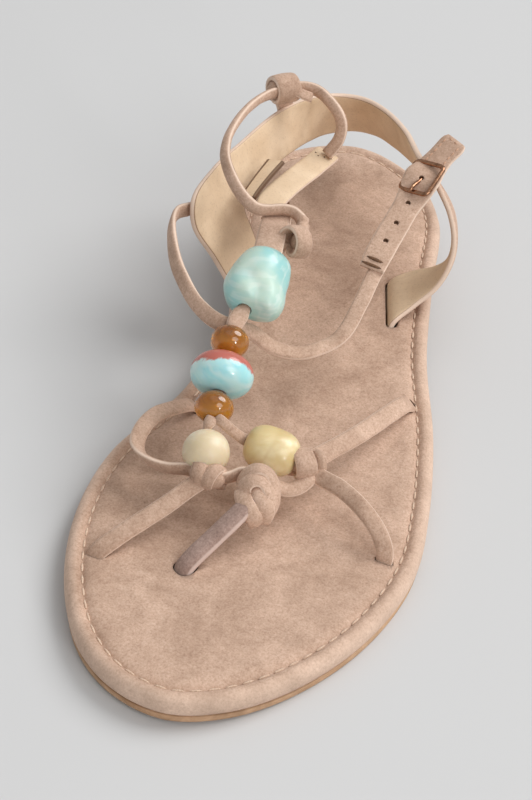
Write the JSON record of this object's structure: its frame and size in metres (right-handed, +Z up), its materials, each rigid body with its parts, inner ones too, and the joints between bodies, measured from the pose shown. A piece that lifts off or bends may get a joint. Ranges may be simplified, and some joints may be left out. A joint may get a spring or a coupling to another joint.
{
  "type": "beaded sandal",
  "caption": "Flat suede thong sandal with knotted laces, a column of polished stone beads over the instep, a lined heel band, a looped ankle strap and square buckles.",
  "frame": {"origin": "on the floor under the middle of the sole's outline", "axes": "+X to the lateral side, +Y from toe to heel, +Z up"},
  "size_m": [0.0915, 0.25, 0.0611],
  "materials": {
    "suede": "suede nap, matte",
    "outsole": "smooth tan sheet, cut edge",
    "heel": "stacked, burnished brown",
    "cream_stone": "polished, slightly translucent",
    "amber_stone": "polished honey brown",
    "turquoise_stone": "polished, veined",
    "copper": "polished rose copper"
  },
  "bodies": {
    "root": {"outsole": "outsole", "heel_block": "heel", "footbed": "suede", "upper_straps": "suede", "heel_band": "suede", "ankle_strap": "suede", "bead_cream_medial": "cream_stone", "bead_cream_lateral": "cream_stone", "bead_amber_lower": "amber_stone", "bead_banded": "turquoise_stone", "bead_amber_upper": "amber_stone", "bead_nugget": "turquoise_stone", "buckle_frame": "copper", "buckle_prong": "copper", "ankle_buckle_frame": "copper", "ankle_buckle_prong": "copper"}
  },
  "joints": []
}
